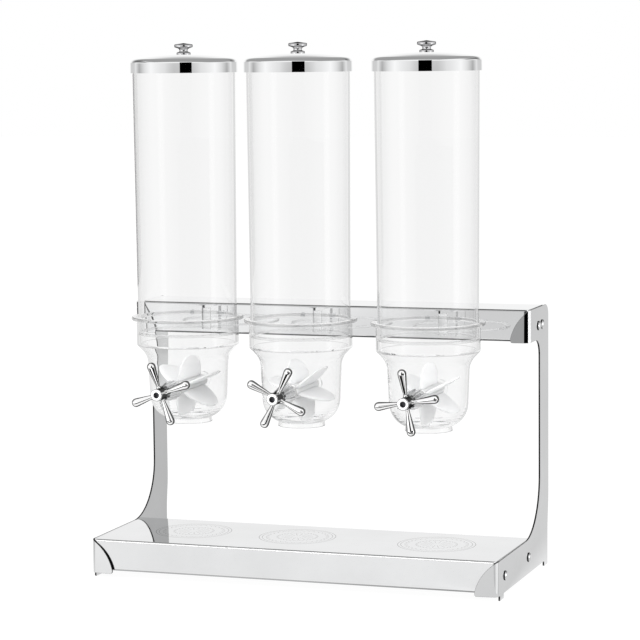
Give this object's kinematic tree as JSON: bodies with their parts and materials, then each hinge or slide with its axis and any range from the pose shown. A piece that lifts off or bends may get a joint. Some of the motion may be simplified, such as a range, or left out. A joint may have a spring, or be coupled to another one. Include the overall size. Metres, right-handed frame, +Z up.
{
  "type": "gravity food dispenser",
  "caption": "Table-top gravity dispenser for dry food: clear canisters with metal lids and cross handles, on hoppers that hang from a bent steel stand with a tray.",
  "frame": {"origin": "on the table, under the centre of the bounding box", "axes": "+Z up; -Y towards the user, who faces the handles; +X to the user's right"},
  "size_m": [0.526, 0.273, 0.6578],
  "materials": {
    "polished_steel": "mirror-polished stainless sheet",
    "fastener_steel": "bright zinc and stainless fasteners",
    "chrome_trim": "bright chrome on the cross handles, the lids and their knobs",
    "silver_sleeve": "silver-plated moulding",
    "clear_tube": "clear plastic",
    "clear_hopper": "clear plastic, slightly thicker",
    "white_paddle": "frosted white silicone",
    "white_bush": "self-lubricating white plastic",
    "clear_seal": "soft translucent seal"
  },
  "bodies": {
    "stand": {"base_tray": "polished_steel", "crossbeam": "polished_steel", "side_plate_left": "polished_steel", "side_plate_right": "polished_steel", "base_screws": "fastener_steel", "base_nuts": "fastener_steel", "beam_screws": "fastener_steel", "beam_nuts": "fastener_steel", "bracket_screws": "fastener_steel", "hopper_bracket_left": "polished_steel", "hopper_bracket_middle": "polished_steel", "hopper_bracket_right": "polished_steel"},
    "hopper_left": {"hopper_left": "clear_hopper", "front_bush_left": "white_bush", "rear_bush_left": "white_bush", "tube_seal_left": "clear_seal"},
    "rotor_left": {"axle_left": "fastener_steel", "paddle_wheel_left": "white_paddle", "handle_sleeve_left": "silver_sleeve", "cross_handle_left": "chrome_trim", "handle_screw_left": "fastener_steel"},
    "tube_left": {"canister_tube_left": "clear_tube"},
    "lid_left": {"lid_cap_left": "chrome_trim", "lid_gasket_left": "clear_seal", "lid_knob_left": "chrome_trim", "lid_screw_left": "fastener_steel"},
    "hopper_middle": {"hopper_middle": "clear_hopper", "front_bush_middle": "white_bush", "rear_bush_middle": "white_bush", "tube_seal_middle": "clear_seal"},
    "rotor_middle": {"axle_middle": "fastener_steel", "paddle_wheel_middle": "white_paddle", "handle_sleeve_middle": "silver_sleeve", "cross_handle_middle": "chrome_trim", "handle_screw_middle": "fastener_steel"},
    "tube_middle": {"canister_tube_middle": "clear_tube"},
    "lid_middle": {"lid_cap_middle": "chrome_trim", "lid_gasket_middle": "clear_seal", "lid_knob_middle": "chrome_trim", "lid_screw_middle": "fastener_steel"},
    "hopper_right": {"hopper_right": "clear_hopper", "front_bush_right": "white_bush", "rear_bush_right": "white_bush", "tube_seal_right": "clear_seal"},
    "rotor_right": {"axle_right": "fastener_steel", "paddle_wheel_right": "white_paddle", "handle_sleeve_right": "silver_sleeve", "cross_handle_right": "chrome_trim", "handle_screw_right": "fastener_steel"},
    "tube_right": {"canister_tube_right": "clear_tube"},
    "lid_right": {"lid_cap_right": "chrome_trim", "lid_gasket_right": "clear_seal", "lid_knob_right": "chrome_trim", "lid_screw_right": "fastener_steel"}
  },
  "joints": [
    {"name": "hopper_lift_left", "type": "slide", "parent": "stand", "child": "hopper_left", "axis": [0, 0, 1], "range_m": [0, 0.035]},
    {"name": "handle_turn_left", "type": "hinge", "parent": "hopper_left", "child": "rotor_left", "pos_m": [-0.1588, -0.1215, 0.2345], "axis": [0, -1, 0], "continuous": true},
    {"name": "tube_lift_left", "type": "slide", "parent": "hopper_left", "child": "tube_left", "axis": [0, 0, 1], "range_m": [0, 0.035]},
    {"name": "lid_lift_left", "type": "slide", "parent": "tube_left", "child": "lid_left", "axis": [0, 0, 1], "range_m": [0, 0.03]},
    {"name": "hopper_lift_middle", "type": "slide", "parent": "stand", "child": "hopper_middle", "axis": [0, 0, 1], "range_m": [0, 0.035]},
    {"name": "handle_turn_middle", "type": "hinge", "parent": "hopper_middle", "child": "rotor_middle", "pos_m": [-0.0099, -0.1215, 0.2345], "axis": [0, -1, 0], "continuous": true},
    {"name": "tube_lift_middle", "type": "slide", "parent": "hopper_middle", "child": "tube_middle", "axis": [0, 0, 1], "range_m": [0, 0.035]},
    {"name": "lid_lift_middle", "type": "slide", "parent": "tube_middle", "child": "lid_middle", "axis": [0, 0, 1], "range_m": [0, 0.03]},
    {"name": "hopper_lift_right", "type": "slide", "parent": "stand", "child": "hopper_right", "axis": [0, 0, 1], "range_m": [0, 0.035]},
    {"name": "handle_turn_right", "type": "hinge", "parent": "hopper_right", "child": "rotor_right", "pos_m": [0.1527, -0.1215, 0.2345], "axis": [0, -1, 0], "continuous": true},
    {"name": "tube_lift_right", "type": "slide", "parent": "hopper_right", "child": "tube_right", "axis": [0, 0, 1], "range_m": [0, 0.035]},
    {"name": "lid_lift_right", "type": "slide", "parent": "tube_right", "child": "lid_right", "axis": [0, 0, 1], "range_m": [0, 0.03]}
  ]
}
